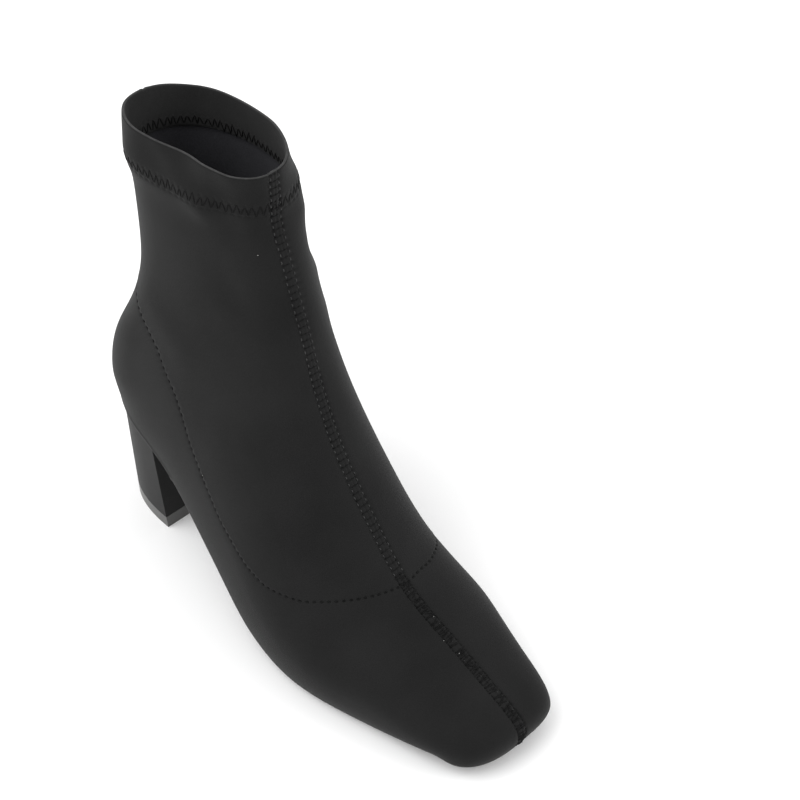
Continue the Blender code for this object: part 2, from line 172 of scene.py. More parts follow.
# Seams and stitches
PITCH = 0.0031            # of all stitches
ROW_GAP = 0.0046          # between the two rows of the front seam
HEM_SEAM = 0.0165         # middle of the hem's stitching under the rim
HEM_SEAM_GAP = 0.0052     # height of its zigzag
HEM_STEP = 0.0004         # the fold stands out above its stitching
RIM_WALL = 0.0014         # thickness of the fold at the rim, where the cloth is pulled tight
FOLD_EDGE = 0.0005        # half width of the painted highlight along the fold's top edge, a lighter grey for the light it catches
HEEL_EDGE = 0.0012        # half width of the painted highlight along the upper's edge around the heel's seat
SEAT_GROOVE = 0.0004      # depth of the groove between upper and heel block, and height of the bead over it
FOLD_END = 0.0197         # the fold's inner edge under the rim
THREAD = 0.00026          # thread radius
SINK = 0.0004             # a stitch's ends below the surface
SEAM_CUTS = 2             # of each face's edge beside a seam
SEAM_REACH = 0.0084       # a seam's profile moves points up to this far from its line
ROW_WIDTH = 0.0006        # half width of the trough under a row of stitches
ROW_DEPTH = 0.0002        # its depth between two stitches
PIT_LENGTH = 0.2          # half length of the pit between two stitches, share of PITCH
STITCH_SHARE = 0.2        # half of the part of a stitch that shows, share of PITCH
WANDER = 0.0001           # how far the front seam's stitches stray
END_WANDER = 0.0004       # how far the forefoot's crossing threads stray sideways
ALONG_WANDER = 0.28       # and along the seam, share of PITCH
ZIGZAG_WANDER = 0.00025   # how far the corners of the hem's zigzag stray
THREAD_TAPER = 0.7        # a thread's thickness at its ends, share of its middle's
SPACING = 0.0004          # between the points of a seam's line
CURVE_STEP = 0.1          # of the smooth line through the panel seam's points, share of the way between two

# Profiles beside the seams: heights, depths and half widths, and places as distances from the seam's line
FRONT_SWELL = 0.0002      # the soft swell under the front seam's two rows
FRONT_SWELL_WIDTH = 0.0015
FRONT_PIT = 0.0006        # a pit between two stitches, below its row's trough
FRONT_JOIN = 0.0003       # depth and half width of the groove in the middle
HEM_FOLD_WIDTH = 0.005    # over which the fold's step fades
HEM_TROUGH = 0.0003       # depth of the trough along the hem's stitching, and of the pits in it
HEM_TROUGH_WIDTH = 0.002
HIGH_PIT_LENGTH = 0.16    # half length of the zigzag's upper pits, share of PITCH
LOW_PIT_GAP = 0.32        # half length of the gap between its lower pits, share of PITCH
PANEL_STEP = 0.00012      # the leg's panel stands out by this, and the foot's lies as much lower
PANEL_STEP_RISE = 0.001   # half the height over which the one becomes the other
PANEL_STEP_WIDTH = 0.0022
PANEL_PIT = 0.0004        # a pit at a stitch, below the seam's trough
BACK_RIDGE = 0.0001       # on both sides of the back seam
BACK_RIDGE_PLACE = 0.0012
BACK_RIDGE_WIDTH = 0.0008
BACK_JOIN = 0.0003        # the groove between them
BACK_JOIN_WIDTH = 0.0005
SEAT_BEAD_PLACE = 0.0013
SEAT_BEAD_WIDTH = 0.0006
SEAT_GROOVE_WIDTH = 0.0005

# Threads: radii, and lifts of a thread's middle over the cloth
FRONT_THREAD = 0.0003     # the front seam's stitches up the leg
FRONT_LIFT = 0.0002
BRIGHT_THREAD = 0.00018   # the few light threads over the forefoot, whose light grey is partly painted highlight
BRIGHT_LIFT = 0.0003
BRIGHT_SKIP = 3           # stitches from one of them to the next
BRIGHT_SPREAD = 0.4       # how far they lie from the middle, share of ROW_GAP
DARK_LIFT = 0.0001        # the stitches and crossing threads over the forefoot, and the panel seam's
CROSSING_SHARE = 0.8      # thickness of the crossing threads along the whole seam, share of THREAD
CROSSING_LIFT = 0.00005
CROSSING_PLACES = (0.2, 0.5, 0.8)  # of the forefoot's three more crossing threads, shares of PITCH
PANEL_THREAD = 0.0003
PANEL_SHARE = 0.22        # half of the part of a panel seam's stitch that shows, share of PITCH

# Rounding of the sharp edges
SOLE_ROUNDING = 0.0007
INSOLE_ROUNDING = 0.0006
COVER_ROUNDING = 0.0005
LIFT_ROUNDING = 0.0004
ROUND_FACES = 3           # across an edge's rounding
SHARP = 40                # degrees between two faces from which on their edge is rounded
WELD = 1e-6               # points closer than this are one

# Specks of lint: across, along and height, shares of BALL_WIDTH, LENGTH and COLLAR_HEIGHT
LINT = [(0.011, 0.780, 0.190), (-0.031, 0.821, 0.174), (-0.013, 0.851, 0.162), (-0.103, 0.381, 0.829),
        (-0.382, 0.349, 0.321)]
LINT_SIZE = 0.0006
LINT_THREAD = 0.00014
LINT_LIFT = 0.0002
DENSE_SEAM = 0.70         # share of LENGTH in front of which the front seam's stitches lie close and dark

# Looks that all surfaces share
BLOTCH = 0.03             # size of the slow changes of tone
FINE_SHARE = 0.5          # of the fine grain in the tone, the rest is for the slow changes
DARK_END = 0.35           # tones up to here have the dark colour, tones from LIGHT_END on the light one
LIGHT_END = 0.65
ROUGHNESS_SPREAD = 0.08   # up and down
RELIEF_STRENGTH = 0.6
SHEEN_ROUGHNESS = 0.45

# Camera
LENS = 78.69              # mm, on a sensor 36 mm wide
CAMERA = Vector((-0.3687, -0.4654, 0.6118))
LOOK = Vector((0.5452, 0.4852, -0.6836))
ROLL = 0.0731             # radians

# Studio: half the floor's side, and each light's place, target, diameter and power
FLOOR = 4
SOFTBOX = (-1.2, 0.5, 1.9), (0, -0.05, 0.1), 2.0, 30
FILL = (0.9, -1.2, 1.0), (0, -0.15, 0.05), 1.0, 5

RANDOM = np.random.default_rng(7)


def section_rows():
    """All sections in metres, toe to rim.

    Feather and ridge (along, height), half widths lateral and medial at the widest place and at the
    feather, skew, places of the widest line, and powers of the curves.
    """
    rows = []
    for feather, arch, spring, ridge, top, lat, med, under_lat, under_med, low, *crowns in FOOT:
        height = BALL_LINE + arch * (HEEL_HEIGHT - BALL_LINE) + spring * TOE_SPRING
        widths = np.array([lat, med, under_lat, under_med]) * BALL_WIDTH
        rows.append((feather * LENGTH, height, ridge * LENGTH, top * INSTEP_HEIGHT, *widths, 0.0,
                     low, low, *crowns))
    for back, rise, depth, climb, fold, lat, med, skew, low_lat, low_med, *crowns in LEG:
        height = HEEL_HEIGHT + rise * (HEM_LINE - HEEL_HEIGHT) + fold * HEM
        front = INSTEP_HEIGHT + climb * (HEM_LINE - INSTEP_HEIGHT) + fold * HEM
        ridge = back * LENGTH + depth * COLLAR_LENGTH
        rows.append((back * LENGTH, height, ridge, front, lat * COLLAR_WIDTH, med * COLLAR_WIDTH, 0.0, 0.0,
                     skew * COLLAR_WIDTH, low_lat, low_med, *crowns))
    return np.array(rows)


def smooth_stations(rows):
    """Stations through the rows, the index of each row among them, and the step of the rows around each."""
    middle = (rows[:, :2] + rows[:, 2:4]) / 2
    length = np.linalg.norm(np.diff(middle, axis=0), axis=1)[:, None]
    front = np.linalg.norm(np.diff(rows[:, 2:4], axis=0), axis=1)
    back = np.linalg.norm(np.diff(rows[:, :2], axis=0), axis=1)
    grade = np.diff(rows, axis=0) / length
    before, after = grade[:-1], grade[1:]
    share_before = length[:-1] + 2 * length[1:]
    share_after = 2 * length[:-1] + length[1:]
    steady = before * after > 0
    mixed = share_before * np.where(steady, after, 1) + share_after * np.where(steady, before, 1)
    slope = np.zeros_like(rows)
    slope[0] = grade[0]
    slope[-1] = grade[-1]
    slope[1:-1] = np.where(steady, before * after * (share_before + share_after) / mixed, 0)
    stations, places, steps = [], [], []
    near = np.minimum(np.append(length[0], length), np.append(length, length[-1]))
    for index in range(len(length)):
        parts = int(np.ceil(max(front[index], back[index]) / STEP))
        places.append(len(stations))
        for t in np.arange(parts) / parts:
            stations.append(rows[index] * (1 + 2 * t) * (1 - t) ** 2
                            + rows[index + 1] * t * t * (3 - 2 * t)
                            + length[index] * slope[index] * t * (1 - t) ** 2
                            - length[index] * slope[index + 1] * t * t * (1 - t))
            steps.append(near[index] * (1 - t) + near[index + 1] * t)
    places.append(len(stations))
    stations.append(rows[-1])
    steps.append(near[-1])
    return np.array(stations), places, np.array(steps)


def evened(stations, places, steps):
    """The stations with their sizes evened out along the boot, so that no table row shows as a kink."""
    middle = (stations[:, :2] + stations[:, 2:4]) / 2
    at = np.concatenate([[0], np.cumsum(np.linalg.norm(np.diff(middle, axis=0), axis=1))])
    wide_at = np.concatenate([-at[:0:-1], at, 2 * at[-1] - at[-2::-1]])
    wide = np.concatenate([2 * stations[0] - stations[:0:-1], stations, 2 * stations[-1] - stations[-2::-1]])
    reach = np.exp(-((at[:, None] - wide_at[None]) / (EVENING * steps[:, None])) ** 2 / 2)
    reach *= np.gradient(wide_at)
    even = reach @ wide / reach.sum(axis=1, keepdims=True)
    first, last = places[OPENING_ROW - 1], places[OPENING_ROW]
    sharp = np.clip((np.arange(len(at)) - first) / (last - first), 0, 1)[:, None]
    even[:, 6:8] = even[:, 6:8] * (1 - sharp) + stations[:, 6:8] * sharp
    even[:, 6:8] = np.minimum(even[:, 6:8], FEATHER_LIMIT * even[:, 4:6])
    return even


def half_section(width, under, low, crown):
    """One side of a section: distances from the middle, and shares of the way from feather to ridge."""
    start = np.arcsin((under / width) ** (BEND / 2))
    turn = np.linspace(start, np.pi / 2, CURVE_POINTS)
    fall = np.clip(np.cos(turn), 0, 1) ** (2 / BEND)
    out = width * np.sin(turn) ** (2 / BEND)
    up = low * (1 - fall / fall[0])
    turn = np.pi / 2 * (1 - np.linspace(1, 0, CURVE_POINTS)[1:] ** 2)
    over = width * np.clip(np.cos(turn), 0, 1) ** (2 / crown)
    over[-1] = 0
    rise = low + (1 - low) * np.sin(turn) ** (2 / crown)
    return np.concatenate([out, over]), np.concatenate([up, rise])


def evenly(points, count):
    """This many faces' corners at even steps along a curve."""
    length = np.concatenate([[0], np.cumsum(np.linalg.norm(np.diff(points, axis=0), axis=1))])
    at = np.linspace(0, length[-1], count + 1)
    return np.stack([np.interp(at, length, points[:, axis]) for axis in range(points.shape[1])], axis=1)


def upper_grid():
    """Points of the upper's outer face, (row, column, (across, along, height)), and each table row's index.

    A row runs from the lateral feather over the ridge to the medial feather. In the leg both ends are
    the same point, at the back.
    """
    stations, places, steps = smooth_stations(section_rows())
    grid = []
    for station in evened(stations, places, steps):
        feather, height, ridge, top, lat, med, under_lat, under_med, skew = station[:9]
        low_lat, low_med, crown_lat, crown_med = station[9:]
        sides = []
        for sign, width, under, low, crown in ((-1, lat, under_lat, low_lat, crown_lat),
                                               (1, med, under_med, low_med, crown_med)):
            out, share = half_section(width, under, low, crown)
            across = sign * out - skew * (1 - share)
            side = [across, feather + (ridge - feather) * share, height + (top - height) * share]
            sides.append(evenly(np.stack(side, axis=1), SIDE_FACES))
        grid.append(np.concatenate([sides[0], sides[1][-2::-1]]))
    return dented(turned_under(np.array(grid), places[len(FOOT) - 1])), places


def turned_under(grid, closed):
    """The grid with the edge around the heel's cup rounded, next to its first closed row."""
    rows, columns = np.arange(len(grid)), np.arange(grid.shape[1])
    reach = np.exp(-((rows[:, None] - rows[None]) / HEEL_ROUNDING) ** 2 / 2)
    reach /= reach.sum(axis=1, keepdims=True)
    near = np.exp(-((rows - closed) / (3 * HEEL_ROUNDING)) ** 2)[:, None, None]
    free = np.clip(np.minimum(columns, columns[::-1]) / HEEL_CORNER, 0, 1)[None, :, None]
    return grid + (np.tensordot(reach, grid, 1) - grid) * near * free


def dented(grid):
    """The grid with the lateral side of the rim sunk in and the back of the leg raised toward it."""
    across, along, height = np.moveaxis(grid, -1, 0)
    place = LEG[-1][0] * LENGTH + DENT_PLACE * COLLAR_LENGTH
    near = np.exp(-((along - place) / (DENT_REACH * COLLAR_LENGTH)) ** 2)
    near = near * np.clip(1 - (COLLAR_HEIGHT - height) / (DENT_DROP * COLLAR_HEIGHT), 0, 1) ** 2
    side = np.clip(-across / (COLLAR_WIDTH / 2), 0, 1)
    grid[..., 0] += COLLAR_DENT * near * side
    leaning = np.clip(1 - (along - LEG[-1][0] * LENGTH) / COLLAR_LENGTH, 0, 1)
    climb = np.clip((height - HEEL_HEIGHT) / (COLLAR_HEIGHT - HEEL_HEIGHT), 0, 1)
    grid[..., 2] += RIM_TILT * leaning * climb ** 3
    return grid


def placed(points):
    """Across, along and height as world coordinates."""
    return np.stack([points[..., 0], HEEL_MIDDLE - points[..., 1], points[..., 2]], axis=-1)


def unit(vectors):
    """The vectors at length one."""
    return vectors / np.maximum(np.linalg.norm(vectors, axis=-1, keepdims=True), 1e-12)


def grid_normals(grid):
    """Outward normals of the upper's grid, the same on both sides of the line at the back of the leg."""
    normal = np.cross(np.gradient(grid, axis=1), np.gradient(grid, axis=0))
    leg = normal[CLOSED:]
    leg[:, 0] = leg[:, -1] = unit(leg[:, 0]) + unit(leg[:, -1])
    return unit(normal)


def folded(grid, skin, normal):
    """The skin moved out and in along its soft folds."""
    across, along, height = np.moveaxis(grid, -1, 0)
    lift = np.zeros_like(along)
    for side, along_a, height_a, along_b, height_b, width, rise in FOLDS:
        start = np.array([along_a * LENGTH, height_a * COLLAR_HEIGHT])
        way = np.array([along_b * LENGTH, height_b * COLLAR_HEIGHT]) - start
        share = ((along - start[0]) * way[0] + (height - start[1]) * way[1]) / (way @ way)
        share = np.clip(share, 0, 1)
        far = np.hypot(along - start[0] - share * way[0], height - start[1] - share * way[1])
        facing = np.clip(side * across / (COLLAR_WIDTH / 3), 0, 1)
        lift += rise * facing * np.exp(-(far / (width * COLLAR_LENGTH)) ** 2)
    return skin + normal * lift[..., None]


def grid_faces(rows, columns, start=0):
    """Quads of a grid whose points are numbered from start."""
    corner = start + (np.arange(rows - 1)[:, None] * columns + np.arange(columns - 1)[None]).ravel()
    return np.stack([corner, corner + 1, corner + columns + 1, corner + columns], axis=1).tolist()


GRID, ROWS = upper_grid()
CLOSED = ROWS[len(FOOT) - 1]
HEEL_ROW = CLOSED - SEAT_ROWS
HEM_ROW = ROWS[-3]
SKIN = placed(GRID)
SKIN = folded(GRID, SKIN, grid_normals(SKIN))
NORMAL = grid_normals(SKIN)
TREE = BVHTree.FromPolygons(SKIN.reshape(-1, 3).tolist(), grid_faces(*SKIN.shape[:2]))
MIDDLE = SIDE_FACES       # column of the front seam


def featherline():
    """The featherline's lateral and medial side, each from the toe end to the back of the heel."""
    front = GRID[0]
    lateral = np.concatenate([front[MIDDLE::-1], GRID[1:CLOSED + 1, 0]])
    medial = np.concatenate([front[MIDDLE:], GRID[1:CLOSED + 1, -1]])
    return lateral, medial


LATERAL, MEDIAL = featherline()


def bottom(along, offset):
    """Places along the foot and heights of the bottom line there, moved up its normal by the offset."""
    line, height = LATERAL[::-1, 1], LATERAL[::-1, 2]
    slope = np.interp(along, line, np.gradient(height, line))
    run = offset / np.sqrt(1 + slope ** 2)
    return along - slope * run, np.interp(along, line, height) + run


def drawn_in(side, inset):
    """One side of the featherline moved inward, as across and along.

    Between the centres of the two ends the side moves straight in, and beyond them the end's curve
    shrinks toward its centre.
    """
    across, along = side[:, 0], side[:, 1]
    toe, heel = FOOT[0][0] * LENGTH, HEEL_CENTRE * LENGTH
    centre = np.clip(along, heel, toe)
    width = np.abs(np.interp(centre, along[::-1], across[::-1]))
    depth = np.where(along > toe, along[0] - toe, heel - along[-1])
    return np.stack([across * (1 - inset / width), centre + (along - centre) * (1 - inset / depth)], axis=1)


def rungs(inset, offset, places):
    """Points across the bottom, (place, side, xyz), at the given places along the drawn-in outline."""
    sides = []
    for side in (LATERAL, MEDIAL):
        outline = drawn_in(side, inset)[::-1]
        across = np.interp(places, outline[:, 1], outline[:, 0])
        along, height = bottom(places, offset)
        sides.append(np.stack([across, along, height], axis=1))
    return np.stack(sides, axis=1)


def heel_shares():
    """Shares of the way from the breast to the back, closer together where the heel is round."""
    return np.sin(np.linspace(0, np.pi / 2, HEEL_PARTS + 1))


def heel_floor():
    """The heel's outline at the floor, as rungs."""
    share = heel_shares()
    half = HEEL_WIDTH / 2 * np.clip(1 - share ** HEEL_POWER, 0, 1) ** (1 / HEEL_POWER)
    along = HEEL_BREAST - HEEL_LENGTH * share
    level = np.zeros_like(share)
    return np.stack([np.stack([side * half, along, level], axis=1) for side in (-1, 1)], axis=1)


def heel_seat():
    """The heel's outline under the seat of the upper, as rungs."""
    back = drawn_in(LATERAL, SOLE_INSET)[-1, 1]
    breast = HEEL_BREAST - BREAST_LEAN
    return rungs(SOLE_INSET, -GAP, breast - (breast - back) * heel_shares())


def heel_at(height):
    """The heel's outline at a height, on the straight lines from floor to seat."""
    floor, seat = heel_floor(), heel_seat()
    return floor + (seat - floor) * height / seat[..., 2:]


def finished(name, form, material, node=None):
    """A piece from a bmesh, which rides on the boot and may stand for a node of the CAD model."""
    bmesh.ops.recalc_face_normals(form, faces=form.faces)
    mesh = bpy.data.meshes.new(name)
    form.to_mesh(mesh)
    form.free()
    mesh.shade_smooth()
    mesh.materials.append(material)
    piece = bpy.data.objects.new(name, mesh)
    bpy.context.scene.collection.objects.link(piece)
    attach(piece, "root")
    if node:
        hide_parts(node)
    return piece


def welded(points, faces):
    """A bmesh of these faces, its double points made one."""
    mesh = bpy.data.meshes.new("draft")
    mesh.from_pydata(np.asarray(points).reshape(-1, 3).tolist(), [], faces)
    form = bmesh.new()
    form.from_mesh(mesh)
    bpy.data.meshes.remove(mesh)
    bmesh.ops.remove_doubles(form, verts=form.verts, dist=WELD)
    return form


def path_tree(path):
    """A tree that finds the nearest point of a line."""
    tree = KDTree(len(path))
    for index, point in enumerate(path):
        tree.insert(point, index)
    tree.balance()
    return tree


def spaced(points, step):
    """Points at even steps, about this long, along a line of points."""
    length = np.linalg.norm(np.diff(points, axis=0), axis=1).sum()
    return evenly(points, max(2, round(length / step)))


def through(points):
    """A smooth line through a few points, by Catmull-Rom steps."""
    ends = np.concatenate([[2 * points[0] - points[1]], points, [2 * points[-1] - points[-2]]])
    line = []
    t = np.arange(0, 1, CURVE_STEP)[:, None]
    for a, b, c, d in zip(ends, ends[1:], ends[2:], ends[3:]):
        line.append(0.5 * (2 * b + (c - a) * t + (2 * a - 5 * b + 4 * c - d) * t ** 2
                           + (3 * b - a - 3 * c + d) * t ** 3))
    return np.concatenate(line + [points[-1:]])


def on_skin(points):
    """The points moved onto the skin."""
    return np.array([TREE.find_nearest(Vector(point))[0] for point in points])


def cast(origin, way):
    """Where a ray meets the skin."""
    return np.array(TREE.ray_cast(Vector(origin), Vector(way))[0])


def panel_line():
    """The panel seam's line: from the back down the lateral side, over the vamp and up the medial side."""
    sides = []
    for side in (-1, 1):
        spots = []
        for along, height in PANEL_SIDE:
            origin = placed(np.array([side * LENGTH, along * LENGTH, height * COLLAR_HEIGHT]))
            spots.append(cast(origin, (-side, 0, 0)))
        sides.append(spots)
    vamp = []
    for across, along in PANEL_VAMP:
        origin = placed(np.array([across * BALL_WIDTH, along * LENGTH, LENGTH]))
        vamp.append(cast(origin, (0, 0, -1)))
    along, height = PANEL_BACK
    back = cast(placed(np.array([0, -LENGTH, height * COLLAR_HEIGHT])), (0, -1, 0))
    points = np.array([back] + sides[0] + vamp + sides[1][::-1] + [back])
    return spaced(on_skin(through(points)), SPACING)


def hem_line(drop, inner=0.0):
    """A ring around the collar, on the outer face or this far inside it.

    The drop is measured from COLLAR_HEIGHT down, at the back.
    """
    rows = np.arange(HEM_ROW - RING_SEARCH, len(SKIN))
    at = np.interp(COLLAR_HEIGHT - drop, SKIN[rows, 0, 2], rows)
    low = int(at)
    high = min(low + 1, len(SKIN) - 1)
    ring = SKIN[low] * (1 - at + low) + SKIN[high] * (at - low)
    inward = NORMAL[low] * [1, 1, 0]
    return ring - unit(inward) * inner


def hem_rings():
    """Rings of the fold at the rim: up its outside, over the rounded edge and down its inside."""
    radius = RIM_WALL / 2
    turn = np.linspace(0, np.pi, TURN_POINTS)
    outside = np.arange(HEM, radius, -RING_STEP)
    inside = np.arange(FOLD_END, radius, -RING_STEP)[::-1]
    drops = np.concatenate([outside, radius - radius * np.sin(turn), inside])
    depths = RIM_WALL + (HEM_WALL - RIM_WALL) * inside / HEM
    depths = np.concatenate([0 * outside, radius - radius * np.cos(turn), depths])
    rings = [hem_line(drop, depth) for drop, depth in zip(drops, depths)]
    rings.append(hem_line(FOLD_END, WALL))
    return np.array(rings)


HEM_RINGS = hem_rings()
TOP_RING = int(np.argmax(HEM_RINGS[:, 0, 2]))
FRONT_LINE = spaced(np.concatenate([SKIN[:HEM_ROW, MIDDLE], HEM_RINGS[:TOP_RING + 2, MIDDLE]]), SPACING)
SEAT_LINE = spaced(np.concatenate([SKIN[HEEL_ROW:CLOSED + 1, 0], SKIN[CLOSED:HEEL_ROW:-1, -1]]), SPACING)
BACK_LINE = spaced(np.concatenate([SKIN[CLOSED:HEM_ROW, 0], HEM_RINGS[:TOP_RING + 2, 0]]), SPACING)
PANEL_LINE = panel_line()
HEM_LINE_OUT = spaced(hem_line(HEM_SEAM), SPACING)


def bump(distance, place, width):
    """A smooth bump of height one."""
    return np.exp(-((distance - place) / width) ** 2)


def front_seam(distance, above, phase):
    """How far the skin stands out beside the front seam's middle line, with a pit between two stitches."""
    row = bump(distance, ROW_GAP / 2, ROW_WIDTH)
    pit = bump(phase, 0.5, PIT_LENGTH)
    swell = FRONT_SWELL * bump(distance, 0, FRONT_SWELL_WIDTH)
    join = FRONT_JOIN * bump(distance, 0, FRONT_JOIN)
    return swell - row * (ROW_DEPTH + FRONT_PIT * pit) - join


def hem_seam(distance, above, phase):
    """The same beside the hem's stitching: a shallow trough, the fold above it and the zigzag's pits."""
    step = 0.5 + 0.5 * np.tanh(above / (HEM_SEAM_GAP / 2))
    high = bump(above, HEM_SEAM_GAP / 2, ROW_WIDTH) * bump(phase, 0.5, HIGH_PIT_LENGTH)
    low = bump(above, -HEM_SEAM_GAP / 2, ROW_WIDTH) * (1 - bump(phase, 0.5, LOW_PIT_GAP))
    fold = HEM_STEP * step * bump(distance, 0, HEM_FOLD_WIDTH)
    return fold - HEM_TROUGH * bump(distance, 0, HEM_TROUGH_WIDTH) - HEM_TROUGH * (high + low)


def panel_seam(distance, above, phase):
    """The same beside the panel seam: a narrow valley with a pit at each stitch, the leg's panel on top."""
    pit = bump(phase, 0.5, PIT_LENGTH)
    over = np.clip(above / PANEL_STEP_RISE, -1, 1) * bump(distance, 0, PANEL_STEP_WIDTH)
    return PANEL_STEP * over - (ROW_DEPTH + PANEL_PIT * pit) * bump(distance, 0, ROW_WIDTH)


def back_seam(distance, above, phase):
    """The same beside the closed seam down the back."""
    ridge = BACK_RIDGE * bump(distance, BACK_RIDGE_PLACE, BACK_RIDGE_WIDTH)
    return ridge - BACK_JOIN * bump(distance, 0, BACK_JOIN_WIDTH)


def seat_edge(distance, above, phase):
    """The same at the upper's edge over the heel: a soft bead above a narrow groove."""
    bead = bump(distance, SEAT_BEAD_PLACE, SEAT_BEAD_WIDTH)
    return SEAT_GROOVE * (bead - bump(distance, 0, SEAT_GROOVE_WIDTH))


def stitch_count(path):
    """How many stitches a line takes."""
    return max(2, round(np.linalg.norm(np.diff(path, axis=0), axis=1).sum() / PITCH))


def sewn(form, path, profile, reach):
    """Makes the faces within this reach of a seam finer and presses the seam into them."""
    tree = path_tree(path)
    near = {point for point in form.verts if tree.find(point.co)[2] < reach}
    edges = [edge for edge in form.edges if edge.verts[0] in near and edge.verts[1] in near]
    bmesh.ops.subdivide_edges(form, edges=edges, cuts=SEAM_CUTS, use_grid_fill=True)
    form.normal_update()
    stitches = stitch_count(path) / (len(path) - 1)
    moves = []
    for point in form.verts:
        spot, index, distance = tree.find(point.co)
        if distance < SEAM_REACH:
            moves.append((point, profile(distance, point.co.z - spot.z, index * stitches % 1)))
    for point, lift in moves:
        point.co += point.normal * float(lift)


def add_upper(fabric, fold_inside, edge, lining):
    """The outer skin with its fold at the rim and its turned-under edge, and the lining inside.

    Returns the sewn skin as a tree, for what lies on it.
    """
    skin = np.concatenate([SKIN[:HEM_ROW], HEM_RINGS])
    points = [skin.reshape(-1, 3)]
    faces = grid_faces(*skin.shape[:2])
    start = skin.shape[0] * skin.shape[1]
    for side in (LATERAL, MEDIAL):
        across, along = drawn_in(side, MARGIN).T
        turned = np.stack([across, *bottom(along, 0)], axis=1)
        points.append(placed(np.stack([side, turned])).reshape(-1, 3))
        faces += grid_faces(2, len(side), start)
        start += 2 * len(side)
    form = welded(np.concatenate(points), faces)
    bmesh.ops.recalc_face_normals(form, faces=form.faces)
    rim = path_tree(spaced(HEM_RINGS[TOP_RING], SPACING))
    seat = path_tree(SEAT_LINE)
    for face in form.faces:
        middle = face.calc_center_median()
        deep = TREE.find_nearest(middle)[3]
        if middle.z > HEM_LINE and deep > INNER_FOLD * RIM_WALL:
            face.material_index = 1
        # The faces along the rim's top and along the upper's edge over the heel take a lighter grey: painted
        # highlight for the light these edges catch
        if rim.find(middle)[2] < FOLD_EDGE or seat.find(middle)[2] < HEEL_EDGE:
            face.material_index = 2
    for path, profile, reach in ((SEAT_LINE, seat_edge, 0.0024), (BACK_LINE, back_seam, 0.0025),
                                 (PANEL_LINE, panel_seam, 0.0024), (HEM_LINE_OUT, hem_seam, 0.0040),
                                 (FRONT_LINE, front_seam, 0.0036)):
        sewn(form, path, profile, reach)
    tree = BVHTree.FromBMesh(form)
    piece = finished("upper_fabric", form, fabric, "upper")
    piece.data.materials.append(fold_inside)
    # the third material is the painted highlight along those edges
    piece.data.materials.append(edge)
    inside = (SKIN - NORMAL * WALL)[:HEM_ROW + LINING_LAP:LINING_SKIP, ::LINING_SKIP]
    form = welded(inside, grid_faces(*inside.shape[:2]))
    finished("upper_lining", form, lining)
    return tree


def threads(tree, starts, ends, normals, lift, radius=THREAD):
    """Points and faces of short bent threads on the cloth, each from one hole to the next."""
    rings, sides = 6, 6
    t = np.linspace(0, 1, rings)
    bow = 1 - (2 * t - 1) ** 4
    line = starts[:, None] * (1 - t[:, None]) + ends[:, None] * t[:, None]
    up = np.repeat(normals[:, None], rings, axis=1)
    for index in np.ndindex(line.shape[:2]):
        spot, facing = tree.find_nearest(Vector(line[index]))[:2]
        line[index] = spot
        up[index] = np.array(facing) * np.sign(np.dot(facing, up[index]))
    line = line + up * (bow * (lift + SINK) - SINK)[:, None]
    way = unit(np.gradient(line, axis=1))
    over = unit(np.cross(way, up))
    up = np.cross(over, way)
    angle = np.arange(sides) * 2 * np.pi / sides
    thick = (radius * (THREAD_TAPER + (1 - THREAD_TAPER) * bow))[:, None, None]
    points = (line[:, :, None] + thick * (over[:, :, None] * np.cos(angle)[:, None]
                                          + up[:, :, None] * np.sin(angle)[:, None]))
    faces = []
    for index in range(len(starts)):
        first = index * rings * sides
        for ring in range(rings - 1):
            for side in range(sides):
                after = (side + 1) % sides
                low = first + ring * sides
                faces.append((low + side, low + after, low + sides + after, low + sides + side))
        faces.append(tuple(first + side for side in range(sides)))
        faces.append(tuple(first + (rings - 1) * sides + side for side in reversed(range(sides))))
    return points.reshape(-1, 3), faces


def add_threads(name, tree, groups, material):
    """One piece of several groups of threads."""
    points, faces = [], []
    count = 0
    for group in groups:
        some, quads = threads(tree, *group)
        points.append(some)
        faces += [tuple(count + corner for corner in face) for face in quads]
        count += len(some)
    form = welded(np.concatenate(points), faces)
    finished(name, form, material)


def outward(points):
    """The skin's outward normals at these points."""
    columns = SKIN.shape[1] - 1
    faces = [TREE.find_nearest(Vector(point))[2] for point in points]
    return np.array([NORMAL[face // columns, face % columns] for face in faces])


def framed(path):
    """A path at the stitches' pitch: points on the skin, normals, and the way along it and across it."""
    points = evenly(path, stitch_count(path))
    normal = outward(points)
    way = unit(np.gradient(points, axis=0))
    return points, normal, way, unit(np.cross(way, normal))


